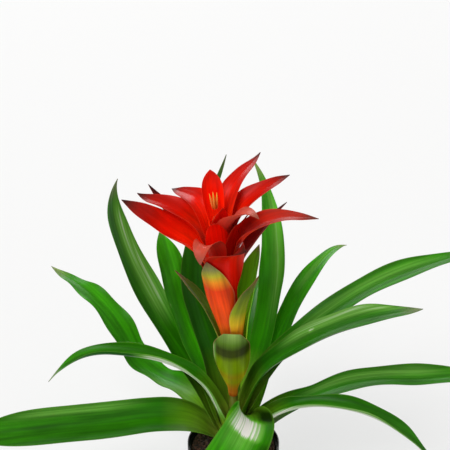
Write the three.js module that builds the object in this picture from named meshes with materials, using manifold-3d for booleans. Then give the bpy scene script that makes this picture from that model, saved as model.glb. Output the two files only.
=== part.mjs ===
// A bromeliad in flower in a round nursery pot: strap leaves nested in a funnel, a leaning
// stem with green scape bracts, a star of red bracts, a tuft of florets and bark mix.
// Millimetres, +Z up, origin at the middle of the pot's underside, the viewer at -Y.

import * as THREE from "three";
import { mergeVertices } from "three/addons/utils/BufferGeometryUtils.js";
import Module from "manifold-3d";

const wasm = await Module();
wasm.setup();

const DEGREE = Math.PI / 180;
const GAP = 0.3;

// ---- Driving dimensions ----

const POT_HEIGHT = 105;
const POT_RIM_RADIUS = 60;
const POT_RIM_HEIGHT = 12;
const POT_RIM_STEP = 2.2;
const POT_RIM_ROUND = 0.7;
const POT_FOOT_RADIUS = 43;
const POT_WALL = 1.5;
const POT_SIDES = 48;
const DRAIN_HOLES = 6;
const DRAIN_RADIUS = 4;
const DRAIN_CIRCLE = 28;
const DRAIN_SIDES = 12;

const SOIL_DEPTH_BELOW_RIM = 9;
const SOIL_SHOULDER = 91;
const SOIL_EDGE = 1;
const SOIL_RELIEF = 1.6;
const SOIL_SPOKES = 36;
const SOIL_RINGS = [53, 45, 36, 27, 18];

const STEM_RADIUS = 10;
const STEM_FOOT = 66;
const STEM_FOOT_TAPER = 4;
const STEM_SHOULDER_LOW = 144;
const STEM_SHOULDER_HIGH = 152;
const STEM_END_STEP = 2;
const SCAPE_RADIUS = 5.5;
const SCAPE_SIDES = 14;
const SCAPE_BEND = 240;
const SCAPE_LEAN = 6.5;
const SCAPE_TOP_TAPER = 6;
const HEAD_HEIGHT = 190;

const LEAF_THICKNESS = 0.8;
const LEAF_ROWS = 16;
const LEAF_CELLS = 6;
const LEAF_FOOT = 100;
const LEAF_PITCH = 2.4;
const FUNNEL_OUTER = 34;
const FUNNEL_INNER = 12.5;
const SHEATH_WIDE = 60;
const SHEATH_NARROW = 42;

const BRACT_THICKNESS = 0.8;
const BRACT_ROWS = 9;
const BRACT_CELLS = 4;

const FLORETS = 4;
const FLORET_LENGTH = 20;
const FLORET_RADIUS = 1.7;
const FLORET_FOOT_RADIUS = 1.5;
const FLORET_SIDES = 6;
const FLORET_SPREAD = 7;
const FLORET_CIRCLE_RADIUS = 1.7;
const FLORET_STAGGER = 3;
const TUFT_CORE_HEIGHT = 14;
const TUFT_CORE_FOOT_RADIUS = 3;
const TUFT_CORE_TOP_RADIUS = 2.4;
const TUFT_CORE_SIDES = 8;

// ---- Finishes ----

function finish(color, roughness) {
  return new THREE.MeshStandardMaterial({ color, roughness, metalness: 0 });
}

const POT_FINISH = finish("#1c1a1b", 0.5);
const SOIL_FINISH = finish("#3b2a20", 0.95);
const STEM_FINISH = finish("#8fa152", 0.5);
const LEAF_FINISH = finish("#2c7a2f", 0.4);
const GREEN_BRACT_FINISH = finish("#6f8f3c", 0.45);
const RED_BRACT_FINISH = finish("#c8201c", 0.4);
const FLORET_FINISH = finish("#eda22b", 0.5);

// ---- Small tools ----

function namedMesh(name, geometry, material) {
  const mesh = new THREE.Mesh(geometry, material);
  mesh.name = name;
  return mesh;
}

function solidFrom(geometry) {
  const bare = geometry.clone();
  bare.deleteAttribute("normal");
  bare.deleteAttribute("uv");
  const merged = mergeVertices(bare, 1e-3);
  return new wasm.Manifold(
    new wasm.Mesh({
      numProp: 3,
      vertProperties: merged.attributes.position.array,
      triVerts: new Uint32Array(merged.index.array),
    }),
  );
}

function geometryFrom(solid) {
  const mesh = solid.getMesh();
  const geometry = new THREE.BufferGeometry();
  geometry.setAttribute("position", new THREE.BufferAttribute(mesh.vertProperties, 3));
  geometry.setIndex(new THREE.BufferAttribute(mesh.triVerts, 1));
  return geometry;
}

function meshGeometry(points, triangles) {
  const geometry = new THREE.BufferGeometry();
  geometry.setAttribute("position", new THREE.Float32BufferAttribute(points.flat(), 3));
  geometry.setIndex(triangles.flat());
  return geometry;
}

function clamp01(value) {
  return Math.min(Math.max(value, 0), 1);
}

function mix(from, to, share) {
  return from + (to - from) * share;
}

// 0 before `from`, 1 after `to`, and a smooth S between them.
function ease(from, to, at) {
  const share = clamp01((at - from) / (to - from));
  return share * share * (3 - 2 * share);
}

// The value at `share` (0 to 1) along equally spaced stops.
function alongStops(stops, share) {
  const place = clamp01(share) * (stops.length - 1);
  const index = Math.min(Math.floor(place), stops.length - 2);
  return mix(stops[index], stops[index + 1], place - index);
}

// A repeatable draw from 0 to 1.
function seededDraws(seed) {
  let state = seed;
  return () => {
    state = (state * 1664525 + 1013904223) % 4294967296;
    return state / 4294967296;
  };
}

// ---- Leaves and bracts ----
// A blade clasps its stem with a round sheath, which opens into a channelled strap along a
// midrib. The midrib lies over one compass direction and follows a list of slopes.

const LEAF_FORM = {
  stemRadius: STEM_RADIUS,
  thickness: LEAF_THICKNESS,
  rows: LEAF_ROWS,
  cells: LEAF_CELLS,
  rowSpread: 1.35,
  footWidth: 26,
  neck: 0.86,
  flare: [0.3, 0.62],
  footSlope: 35,
  opening: 75,
  channel: [34, 34],
  taperFrom: 0.5,
  taperPower: 2.4,
  tipWidth: 1.2,
  turns: [0, 0],
  roll: [0, 0],
};

const BRACT_FORM = {
  stemRadius: SCAPE_RADIUS,
  thickness: BRACT_THICKNESS,
  rows: BRACT_ROWS,
  cells: BRACT_CELLS,
  rowSpread: 1.1,
  footWidth: 12,
  sheathWidth: 27,
  neck: 0.95,
  flare: [0.3, 0.62],
  footSlope: 55,
  opening: 30,
  channel: [20, 20],
  taperFrom: 0.45,
  taperPower: 1.9,
  tipWidth: 1,
  turns: [0, 0],
  roll: [0, 0],
};

const MIDRIB_STEPS = 240;
const SHEATH_MARGIN = 0.04;
const THROAT_LENGTH = 0.24;

// Length of the sheath, from its foot on the stem to where it stands at the funnel's radius.
function sheathLength(blade) {
  const from = blade.footSlope * DEGREE;
  const to = blade.slopes[0] * DEGREE;
  const reach = blade.sheathRadius - blade.footRadius;
  return (reach * (to - from)) / (Math.sin(to) - Math.sin(from));
}

function slopeAt(blade, distance) {
  if (distance < blade.sheath) {
    return mix(blade.footSlope, blade.slopes[0], distance / blade.sheath);
  }
  return alongStops(blade.slopes, bladeShare(blade, distance));
}

function bladeShare(blade, distance) {
  return clamp01((distance - blade.sheath) / (blade.length - blade.sheath));
}

function headingAt(blade, distance) {
  return blade.azimuth + alongStops(blade.turns, bladeShare(blade, distance));
}

function widthAt(blade, distance) {
  const share = distance / blade.length;
  const { footWidth, sheathWidth, width, neck } = blade;
  const sheathEnd = blade.sheath / blade.length + SHEATH_MARGIN;
  const clasp = mix(footWidth, sheathWidth, ease(0, sheathEnd, share));
  const opening = ease(sheathEnd, sheathEnd + THROAT_LENGTH, share);
  const throat = mix(clasp, width * neck, opening);
  const strap = mix(throat, width, ease(...blade.flare, share));
  const point = clamp01((share - blade.taperFrom) / (1 - blade.taperFrom)) ** blade.taperPower;
  return mix(strap, blade.tipWidth, point);
}

// The midrib's points at equal distances, from the foot to the tip.
function midribOf(blade) {
  const step = blade.length / MIDRIB_STEPS;
  const start = blade.azimuth * DEGREE;
  const { footRadius, foot } = blade;
  const point = [footRadius * Math.cos(start), footRadius * Math.sin(start), foot];
  const points = [[...point]];
  for (let i = 0; i < MIDRIB_STEPS; i++) {
    const middle = (i + 0.5) * step;
    const slope = slopeAt(blade, middle) * DEGREE;
    const heading = headingAt(blade, middle) * DEGREE;
    point[0] += step * Math.cos(slope) * Math.cos(heading);
    point[1] += step * Math.cos(slope) * Math.sin(heading);
    point[2] += step * Math.sin(slope);
    points.push([...point]);
  }
  return points;
}

// A point of the blade's middle surface: `distance` along the midrib, `aside` across it.
function bladePoint(blade, distance, aside) {
  const place = (distance / blade.length) * MIDRIB_STEPS;
  const index = Math.min(Math.floor(place), MIDRIB_STEPS - 1);
  const [low, high] = [blade.midrib[index], blade.midrib[index + 1]];
  const rib = low.map((value, axis) => mix(value, high[axis], place - index));
  const slope = slopeAt(blade, distance) * DEGREE;
  const heading = headingAt(blade, distance) * DEGREE;
  const roll = alongStops(blade.roll, bladeShare(blade, distance)) * DEGREE;

  const out = Math.hypot(rib[0], rib[1]);
  const around = Math.atan2(rib[1], rib[0]) + aside / out;
  const wrapped = [out * Math.cos(around), out * Math.sin(around), rib[2]];

  const bend = alongStops(blade.channel, bladeShare(blade, distance));
  const across = bend * Math.sin(aside / bend);
  const rise = bend * (1 - Math.cos(aside / bend));
  const side = across * Math.cos(roll) - rise * Math.sin(roll);
  const lift = across * Math.sin(roll) + rise * Math.cos(roll);
  const strap = [
    rib[0] - side * Math.sin(heading) - lift * Math.sin(slope) * Math.cos(heading),
    rib[1] + side * Math.cos(heading) - lift * Math.sin(slope) * Math.sin(heading),
    rib[2] + lift * Math.cos(slope),
  ];
  const opened = ease(blade.sheath, blade.sheath + blade.opening, distance);
  return wrapped.map((value, axis) => mix(value, strap[axis], opened));
}

// The middle surface as rows of points, with the unit normal of the upper face at each.
function bladeGrid(blade) {
  const rows = [];
  for (let row = 0; row <= blade.rows; row++) {
    const distance = blade.length * (row / blade.rows) ** blade.rowSpread;
    const half = widthAt(blade, distance) / 2;
    const points = [];
    for (let cell = 0; cell <= blade.cells; cell++) {
      const aside = mix(-half, half, cell / blade.cells);
      points.push(new THREE.Vector3(...bladePoint(blade, distance, aside)));
    }
    rows.push(points);
  }
  const normals = rows.map((points, row) =>
    points.map((_, cell) => {
      const before = rows[Math.max(row - 1, 0)][cell];
      const after = rows[Math.min(row + 1, blade.rows)][cell];
      const left = points[Math.max(cell - 1, 0)];
      const right = points[Math.min(cell + 1, blade.cells)];
      const along = new THREE.Vector3().subVectors(after, before);
      return along.cross(new THREE.Vector3().subVectors(right, left)).normalize();
    }),
  );
  return { rows, normals };
}

// Both faces, split into triangles alike, and the rim between them.
function bladeGeometry(spec) {
  const blade = { ...spec };
  blade.footRadius = blade.stemRadius + GAP + blade.thickness / 2;
  blade.sheath = sheathLength(blade);
  blade.midrib = midribOf(blade);
  const { rows, normals } = bladeGrid(blade);
  const columns = blade.cells + 1;
  const points = [];
  for (const offset of [blade.thickness / 2, -blade.thickness / 2]) {
    rows.forEach((line, row) =>
      line.forEach((point, cell) => {
        const moved = point.clone().addScaledVector(normals[row][cell], offset);
        points.push(moved.toArray());
      }),
    );
  }
  const under = rows.length * columns;
  const at = (row, cell) => row * columns + cell;
  const triangles = [];
  const addQuad = (a, b, c, d) => triangles.push([a, b, c], [a, c, d]);
  for (let row = 0; row < blade.rows; row++) {
    for (let cell = 0; cell < blade.cells; cell++) {
      const [a, b] = [at(row, cell), at(row + 1, cell)];
      const [c, d] = [at(row + 1, cell + 1), at(row, cell + 1)];
      addQuad(a, b, c, d);
      triangles.push([under + a, under + c, under + b], [under + a, under + d, under + c]);
    }
    const first = [at(row, 0), at(row + 1, 0)];
    const last = [at(row, blade.cells), at(row + 1, blade.cells)];
    addQuad(first[0], under + first[0], under + first[1], first[1]);
    addQuad(last[1], under + last[1], under + last[0], last[0]);
  }
  for (let cell = 0; cell < blade.cells; cell++) {
    const foot = [at(0, cell), at(0, cell + 1)];
    const tip = [at(blade.rows, cell), at(blade.rows, cell + 1)];
    addQuad(foot[1], under + foot[1], under + foot[0], foot[0]);
    addQuad(tip[0], under + tip[0], under + tip[1], tip[1]);
  }
  return meshGeometry(points, triangles);
}

// Leaves from the outermost and lowest to the innermost. The compass runs from +X (0) round
// to the back (90). Slopes are degrees above level, from the funnel to the tip.
const LEAVES = [
  { name: "leaf_left_wavy", azimuth: 140, length: 387, width: 47,
    slopes: [62, 4, -6, 14, 57, 38, 20, 6, 14] },
  { name: "leaf_right_low", azimuth: 3, length: 330, width: 50, slopes: [53, 27, 24, 9, -3, 3, 6],
    taperFrom: 0.76, taperPower: 3, flare: [0.3, 0.8], neck: 0.8 },
  { name: "leaf_left_low", azimuth: 191, length: 345, width: 52, slopes: [56, 11, -1, 2, 1, 1, 1],
    roll: [-24, -36, -38], taperFrom: 0.66, taperPower: 2.6, neck: 1, flare: [0.2, 0.4],
    channel: [34, 34] },
  { name: "leaf_right_arch", azimuth: 348, length: 304, width: 34,
    slopes: [58, 34, 12, -8, -26, -42, -52], channel: [11, 14] },
  { name: "leaf_back_low", azimuth: 80, length: 300, width: 38, slopes: [64, 38, 14, 0, -14] },
  { name: "leaf_back_mid", azimuth: 94, length: 310, width: 34, slopes: [70, 44, 24, 4, -12] },
  { name: "leaf_tall_left", azimuth: 150, length: 379, width: 55,
    slopes: [71, 50, 51, 57, 64, 77, 120] },
  { name: "leaf_right_back", azimuth: 48, length: 315, width: 30,
    slopes: [71, 48, 51, 54, 34, 18, -22] },
  { name: "leaf_back_left", azimuth: 133, length: 276, width: 46, slopes: [77, 51, 52, 66, 70, 65],
    taperFrom: 0.74, taperPower: 3, neck: 0.86, roll: [0, 0] },
  { name: "leaf_back_tall", azimuth: 56, length: 364, width: 35, slopes: [77, 54, 62, 76, 80, 71, 54],
    turns: [0, 0, 8, 10, 50, 69, 94] },
  { name: "leaf_back", azimuth: 122, length: 369, width: 44, taperFrom: 0.42, taperPower: 1.4,
    slopes: [81, 60, 52, 69, 72, 62, 65], turns: [0, 0, 1, -49, -91, -78], roll: [0, 0] },
  { name: "leaf_front", azimuth: 299, length: 284, width: 70, neck: 0.92, sheathWidth: 45,
    slopes: [80, 40, -4, -33, -50, -50, -50, -59], turns: [0, -12, -52, -71, -79, -82, -82],
    roll: [1, -31, -27, -20, -15], channel: [18, 19, 32, 64, 90, 90, 90, 90] },
  { name: "leaf_left_arch", azimuth: 179, length: 296, width: 34,
    slopes: [77, 63, 32, 12, 2, -31, -55], channel: [19, 10, 11, 15] },
  { name: "leaf_right_upper", azimuth: 22, length: 418, width: 49, slopes: [78, 54, 31, 26, 13, 7, 4],
    taperFrom: 0.62, taperPower: 2.6, flare: [0.3, 0.72] },
  { name: "leaf_right_mid", azimuth: 2, length: 303, width: 54, slopes: [82, 73, 41, 29, 22, 12, 8],
    taperFrom: 0.64, taperPower: 2.2 },
];

function leafMesh(leaf, place) {
  const share = place / (LEAVES.length - 1);
  const nest = {
    foot: LEAF_FOOT + LEAF_PITCH * place,
    sheathRadius: mix(FUNNEL_OUTER, FUNNEL_INNER, share),
    sheathWidth: mix(SHEATH_WIDE, SHEATH_NARROW, share),
  };
  return namedMesh(leaf.name, bladeGeometry({ ...LEAF_FORM, ...nest, ...leaf }), LEAF_FINISH);
}

// ---- Bracts: the lowest stand on the upright scape, the others on the leaning head ----

const SCAPE_BRACTS = [
  { name: "scape_bract_front", azimuth: 264, foot: 180, sheathRadius: 10, length: 106, width: 58,
    sheathWidth: 13, neck: 0.3, taperFrom: 0.72, taperPower: 2.6, tipWidth: 22,
    slopes: [77, 72, 75, 78, 90, 118], channel: [18, 24, 25], roll: [0, 8], turns: [0, 0],
    flare: [0.14, 0.62] },
  { name: "scape_bract_right_back", azimuth: 40, foot: 216, sheathRadius: 9, length: 168, width: 44,
    slopes: [79, 86, 78, 78, 68], taperFrom: 0.6 },
];

// Feet here are heights above the bend in the scape.
const HEAD_GREEN_BRACTS = [
  { name: "scape_bract_left", azimuth: 168, foot: 0, sheathRadius: 15, length: 132, width: 26,
    slopes: [78, 76, 68, 62, 56, 52] },
  { name: "scape_bract_right", azimuth: 318, foot: 8, sheathRadius: 14, length: 130, width: 36,
    slopes: [78, 76, 64, 59, 59], sheathWidth: 27, channel: [20, 20], roll: [0, 0], neck: 0.95 },
  { name: "scape_bract_left_front", azimuth: 250, foot: 16, sheathRadius: 13, length: 142, width: 44,
    neck: 0.72, taperFrom: 0.55, taperPower: 2.2, slopes: [82, 74, 79, 74, 70], channel: [21, 25],
    opening: 60 },
];

const RED_BRACTS = [
  { name: "red_bract_front_right", azimuth: 284, foot: 32, sheathRadius: 11.7, length: 158, width: 58,
    sheathWidth: 26, neck: 0.36, flare: [0.42, 0.74], slopes: [79, 79, 78, 62, 0],
    turns: [0, 0, 0, 10, 60], channel: [20, 40], opening: 90, taperFrom: 0.78 },
  { name: "red_bract_left_back", azimuth: 142, length: 166, width: 28,
    slopes: [76, 56, 46, 42, 44, 46] },
  { name: "red_bract_right_back", azimuth: 14, length: 133, width: 28, slopes: [75, 48, 44, 46, 42, 32] },
  { name: "red_bract_back_low", azimuth: 88, length: 140, width: 30, slopes: [78, 62, 40, 26, 10] },
  { name: "red_bract_left_low", azimuth: 178, length: 165, width: 54,
    slopes: [79, 52, 36, 46, 43, 38], channel: [22, 32], roll: [-8, -22] },
  { name: "red_bract_right_low", azimuth: 350, length: 163, width: 52,
    slopes: [83, 56, 32, 14, -6, -11], channel: [22, 30], roll: [6, 14], taperFrom: 0.3,
    taperPower: 1.4 },
  { name: "red_bract_left_front", azimuth: 245, length: 100, width: 40,
    slopes: [82, 76, 62, 18, -54, -90] },
  { name: "red_bract_right_inner", azimuth: 332, length: 100, width: 30, slopes: [83, 80, 66, 50, 48],
    channel: [22, 21], sheathWidth: 27 },
  { name: "red_bract_front", azimuth: 268, length: 88, width: 36, slopes: [83, 83, 80, 71, 30],
    neck: 0.95 },
  { name: "red_bract_left_mid", azimuth: 158, length: 143, width: 44,
    slopes: [81, 65, 42, 30, 14, 29], roll: [8, -14], channel: [21, 20], sheathWidth: 27 },
  { name: "red_bract_right_upper", azimuth: 17, length: 144, width: 40,
    slopes: [84, 74, 49, 27, 22, 9], roll: [6, 14], sheathWidth: 28, neck: 0.95, channel: [19, 21] },
  { name: "red_bract_right_small", azimuth: 322, length: 108, width: 42,
    slopes: [84, 84, 62, 39, 17, -42], roll: [-1, -3], neck: 0.89, sheathWidth: 25,
    channel: [20, 20] },
  { name: "red_bract_back_upper", azimuth: 127, length: 133, width: 34,
    slopes: [86, 81, 52, 3, -4, -6], roll: [-3, -18], channel: [20, 20] },
  { name: "red_bract_back_tall", azimuth: 50, length: 146, width: 30,
    slopes: [86, 84, 53, 29, 14, 26], roll: [13, -4], sheathWidth: 21, channel: [19, 22] },
  { name: "red_bract_inner_front", azimuth: 297, length: 69, width: 31, sheathWidth: 22,
    slopes: [85, 87, 78, 70, 63], roll: [3, 4] },
  { name: "red_bract_hood", azimuth: 108, length: 104, width: 34, sheathWidth: 22, taperFrom: 0.6,
    taperPower: 2.8, channel: [8, 9, 14, 20], slopes: [85, 86, 90, 97, 104, 112] },
];
const RED_FOOT = 78;
const RED_PITCH = 4.6;
const RED_OUTER = 24;
const RED_INNER = 8.6;

function greenBractMesh(bract) {
  return namedMesh(bract.name, bladeGeometry({ ...BRACT_FORM, ...bract }), GREEN_BRACT_FINISH);
}

function redBractMesh(bract, place) {
  const share = place / (RED_BRACTS.length - 1);
  const nest = {
    foot: RED_FOOT + RED_PITCH * place,
    sheathRadius: mix(RED_OUTER, RED_INNER, share),
  };
  return namedMesh(bract.name, bladeGeometry({ ...BRACT_FORM, ...nest, ...bract }), RED_BRACT_FINISH);
}

function floretGeometry() {
  const profile = [
    [0, -1],
    [FLORET_FOOT_RADIUS, 0],
    [FLORET_RADIUS, 0.55 * FLORET_LENGTH],
    [0.55 * FLORET_RADIUS, 0.85 * FLORET_LENGTH],
    [0, FLORET_LENGTH],
  ].map(([radius, height]) => new THREE.Vector2(radius, height));
  return new THREE.LatheGeometry(profile, FLORET_SIDES).rotateX(Math.PI / 2);
}

function tuftCoreGeometry() {
  const core = new THREE.CylinderGeometry(
    TUFT_CORE_TOP_RADIUS,
    TUFT_CORE_FOOT_RADIUS,
    TUFT_CORE_HEIGHT,
    TUFT_CORE_SIDES,
  );
  return core.rotateX(Math.PI / 2).translate(0, 0, TUFT_CORE_HEIGHT / 2);
}

// A tuft of closed florets on one core, which stands on the end of the scape.
function floretsMesh() {
  const middle = floretGeometry().translate(0, 0, TUFT_CORE_HEIGHT - 2);
  let tuft = solidFrom(tuftCoreGeometry()).add(solidFrom(middle));
  for (let index = 0; index < FLORETS; index++) {
    const turn = (2 * Math.PI * index) / FLORETS;
    const x = FLORET_CIRCLE_RADIUS * Math.cos(turn);
    const y = FLORET_CIRCLE_RADIUS * Math.sin(turn);
    const lift = TUFT_CORE_HEIGHT - FLORET_STAGGER * (1 + (index % 2));
    const floret = floretGeometry().rotateY(FLORET_SPREAD * DEGREE).rotateZ(turn);
    tuft = tuft.add(solidFrom(floret.translate(x, y, lift)));
  }
  const mesh = namedMesh("florets", geometryFrom(tuft), FLORET_FINISH);
  mesh.position.z = HEAD_HEIGHT + GAP;
  return mesh;
}

function headGroup() {
  const head = new THREE.Group();
  head.position.z = SCAPE_BEND;
  head.rotation.y = -SCAPE_LEAN * DEGREE;
  head.add(...HEAD_GREEN_BRACTS.map(greenBractMesh));
  head.add(...RED_BRACTS.map(redBractMesh));
  head.add(floretsMesh());
  return head;
}

// ---- Stem: the short upright stock in the soil and the leaning scape above it ----

// The rings joined by quads, side to side, with a fan to the given point at either end.
function joinedRings(points, sides, foot, top) {
  const last = points.length - sides;
  const ends = [points.push(foot) - 1, points.push(top) - 1];
  const triangles = [];
  for (let side = 0; side < sides; side++) {
    const next = (side + 1) % sides;
    triangles.push([ends[0], next, side], [ends[1], last + side, last + next]);
    for (let low = 0; low < last; low += sides) {
      const high = low + sides;
      triangles.push([low + side, low + next, high + next]);
      triangles.push([low + side, high + next, high + side]);
    }
  }
  return meshGeometry(points, triangles);
}

// The points of a level ring; `lift` gives what each point stands above the ring's height.
function ringPoints([x, y, z], radius, sides, lift = () => 0) {
  return Array.from({ length: sides }, (_, side) => {
    const angle = (2 * Math.PI * side) / sides;
    return [x + radius * Math.cos(angle), y + radius * Math.sin(angle), z + lift()];
  });
}

function stemMesh() {
  const lean = Math.tan(SCAPE_LEAN * DEGREE);
  const centre = (height) => [-Math.max(height - SCAPE_BEND, 0) * lean, 0, height];
  const top = SCAPE_BEND + HEAD_HEIGHT * Math.cos(SCAPE_LEAN * DEGREE) - GAP;
  const rings = [
    [STEM_FOOT, STEM_RADIUS - STEM_END_STEP],
    [STEM_FOOT + STEM_FOOT_TAPER, STEM_RADIUS],
    [STEM_SHOULDER_LOW, STEM_RADIUS],
    [STEM_SHOULDER_HIGH, SCAPE_RADIUS],
    [SCAPE_BEND, SCAPE_RADIUS],
    [top - SCAPE_TOP_TAPER, SCAPE_RADIUS],
    [top, SCAPE_RADIUS - STEM_END_STEP],
  ];
  const points = rings.flatMap(([height, radius]) =>
    ringPoints(centre(height), radius, SCAPE_SIDES),
  );
  const geometry = joinedRings(points, SCAPE_SIDES, centre(STEM_FOOT), centre(top));
  return namedMesh("stem", geometry, STEM_FINISH);
}

// ---- Pot and soil ----

const POT_SHOULDER = POT_HEIGHT - POT_RIM_HEIGHT;

function potWallRadius(height) {
  return mix(POT_FOOT_RADIUS, POT_RIM_RADIUS - POT_RIM_STEP, height / POT_SHOULDER);
}

function potMesh() {
  const innerRim = POT_RIM_RADIUS - POT_WALL;
  const profile = [
    [0, 0],
    [POT_FOOT_RADIUS, 0],
    [potWallRadius(POT_SHOULDER), POT_SHOULDER],
    [POT_RIM_RADIUS - POT_RIM_ROUND, POT_SHOULDER],
    [POT_RIM_RADIUS, POT_HEIGHT - POT_RIM_ROUND],
    [POT_RIM_RADIUS - POT_RIM_ROUND, POT_HEIGHT],
    [innerRim, POT_HEIGHT],
    [innerRim, POT_SHOULDER + POT_WALL],
    [potWallRadius(POT_SHOULDER) - POT_WALL, POT_SHOULDER + POT_WALL],
    [potWallRadius(POT_WALL) - POT_WALL, POT_WALL],
    [0, POT_WALL],
  ].map(([radius, height]) => new THREE.Vector2(radius, height));
  let pot = solidFrom(new THREE.LatheGeometry(profile, POT_SIDES).rotateX(Math.PI / 2));
  for (let hole = 0; hole < DRAIN_HOLES; hole++) {
    const angle = (2 * Math.PI * hole) / DRAIN_HOLES;
    const depth = 4 * POT_WALL;
    const drill = new THREE.CylinderGeometry(DRAIN_RADIUS, DRAIN_RADIUS, depth, DRAIN_SIDES);
    drill.rotateX(Math.PI / 2);
    drill.translate(DRAIN_CIRCLE * Math.cos(angle), DRAIN_CIRCLE * Math.sin(angle), 0);
    pot = pot.subtract(solidFrom(drill));
  }
  return namedMesh("pot", geometryFrom(pot), POT_FINISH);
}

// A round block with a rough top, and a plain hole down its middle for the stem.
function soilMesh() {
  const draw = seededDraws(7);
  const surface = POT_HEIGHT - SOIL_DEPTH_BELOW_RIM;
  const bottom = POT_WALL + GAP;
  const hole = STEM_RADIUS + GAP;
  const wall = (height) => potWallRadius(height) - POT_WALL - 2 * GAP;
  const rings = [
    [wall(bottom), bottom, 0],
    [wall(SOIL_SHOULDER), SOIL_SHOULDER, 0],
    [wall(SOIL_SHOULDER), surface - SOIL_EDGE, 0],
    ...SOIL_RINGS.map((radius) => [radius, surface, SOIL_RELIEF]),
    [hole + SOIL_EDGE, surface + SOIL_EDGE, 0],
    [hole, surface - SOIL_EDGE, 0],
    [hole, STEM_FOOT - GAP, 0],
  ];
  const points = rings.flatMap(([radius, height, relief]) =>
    ringPoints([0, 0, height], radius, SOIL_SPOKES, () => relief * (2 * draw() - 1)),
  );
  const socket = [0, 0, STEM_FOOT - GAP];
  const geometry = joinedRings(points, SOIL_SPOKES, [0, 0, bottom], socket);
  return namedMesh("soil", geometry, SOIL_FINISH);
}

// ---- The whole plant ----

const plant = new THREE.Group();
plant.add(potMesh(), soilMesh(), stemMesh());
plant.add(...LEAVES.map(leafMesh));
plant.add(...SCAPE_BRACTS.map(greenBractMesh));
plant.add(headGroup());

export default plant;
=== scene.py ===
import math
from functools import partial

import bpy
import numpy as np
from bpy.props import FloatProperty, FloatVectorProperty, IntProperty, PointerProperty
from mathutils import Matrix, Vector, noise


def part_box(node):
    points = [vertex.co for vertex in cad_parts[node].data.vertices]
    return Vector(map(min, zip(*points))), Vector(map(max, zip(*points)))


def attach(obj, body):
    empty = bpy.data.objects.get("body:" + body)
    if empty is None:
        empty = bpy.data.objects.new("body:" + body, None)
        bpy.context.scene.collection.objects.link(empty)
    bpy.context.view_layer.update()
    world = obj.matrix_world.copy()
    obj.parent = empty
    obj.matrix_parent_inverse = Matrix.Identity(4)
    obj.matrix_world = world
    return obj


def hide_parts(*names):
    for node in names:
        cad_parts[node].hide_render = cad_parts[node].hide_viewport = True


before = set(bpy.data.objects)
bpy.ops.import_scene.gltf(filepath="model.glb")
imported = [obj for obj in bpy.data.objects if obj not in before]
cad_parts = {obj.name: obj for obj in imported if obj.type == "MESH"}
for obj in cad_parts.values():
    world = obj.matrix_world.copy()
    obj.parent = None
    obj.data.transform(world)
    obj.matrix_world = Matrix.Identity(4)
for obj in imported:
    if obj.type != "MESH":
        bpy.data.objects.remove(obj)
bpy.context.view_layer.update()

bl_info = {
    "name": "Potted bromeliad",
    "version": (1, 0, 0),
    "blender": (4, 5, 0),
    "location": "View3D > Sidebar > Bromeliad",
    "description": "Dresses the solids of a flowering bromeliad in its nursery pot",
    "category": "Object",
}

MM = 0.001
DEGREE = math.pi / 180


def linear(code):
    """An sRGB hex colour as linear red, green, blue and alpha."""
    shares = [int(code[place : place + 2], 16) / 255 for place in (1, 3, 5)]
    return (*[c / 12.92 if c <= 0.04045 else ((c + 0.055) / 1.055) ** 2.4 for c in shares], 1.0)


# ---- The plant's plan, in millimetres and degrees ----
# The compass runs from +X (0) round to the back (90). A blade's slopes above level, its turns from
# its azimuth, its roll about its midrib and the radius of its channel stand at equal distances from
# the funnel to the tip. Its flare and taper_from are shares of its length.
# wave and waves are the height and number of the waves in its margins. For its colours, tone is how
# light they are: partly their own colour, partly painted shade on blades that stand in shadow, and
# painted light on the backlit hood and on a bract in the shade of the head. bloom is how much pale
# wax lies on the outer half, ripe how far they have run to the tip's and sweep how far forward they
# run at the margins. Each of its patches is painted light, with its middle and spread across, its
# start and end along, the softness of its ends, and its strength, which is above 0 where it paints a
# sheen and below 0 where it paints shade.

BLADE_FORM = dict(
    thickness=0.8, flare=(0.3, 0.62), turns=(0, 0), roll=(0, 0),
    tone=1.0, bloom=0.0, ripe=1.0, patches=(), sweep=0.0,
)
LEAF_FORM = dict(
    BLADE_FORM, stem_radius=10, foot_width=26, foot_slope=35, neck=0.86, opening=75,
    channel=(34, 34), taper_from=0.5, taper_power=2.4, tip_width=0.7, wave=1.2, waves=3.5,
    groove=0.8, rows=110, row_spread=1.35, cells=20,
)
BRACT_FORM = dict(
    BLADE_FORM, stem_radius=5.5, foot_width=12, foot_slope=55, sheath_width=27, neck=0.95,
    opening=30, channel=(20, 20), taper_from=0.45, taper_power=1.9, tip_width=0.6, wave=0.6,
    waves=2.5, groove=0.6, rows=70, row_spread=1.1, cells=18,
)
# Sheaths nest one in the other: the first is lowest and widest, and each next one a pitch higher.
LEAF_NEST = dict(foot=100, pitch=2.4, outer=34, inner=12.5, wide=60, narrow=42)
RED_NEST = dict(foot=78, pitch=4.6, outer=24, inner=8.6)
GAP = 0.3  # the clearance between a sheath and its stem
SCAPE_BEND = 240  # the height at which the scape starts to lean
SCAPE_LEAN = 6.5
HEAD_HEIGHT = 190  # the length of the scape from its bend to its end


def blade(name, azimuth, length, width, slopes, **form):
    """A blade's plan: its own sizes, and what sets it apart from the form of its kind."""
    return dict(form, name=name, azimuth=azimuth, length=length, width=width, slopes=slopes)


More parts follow.
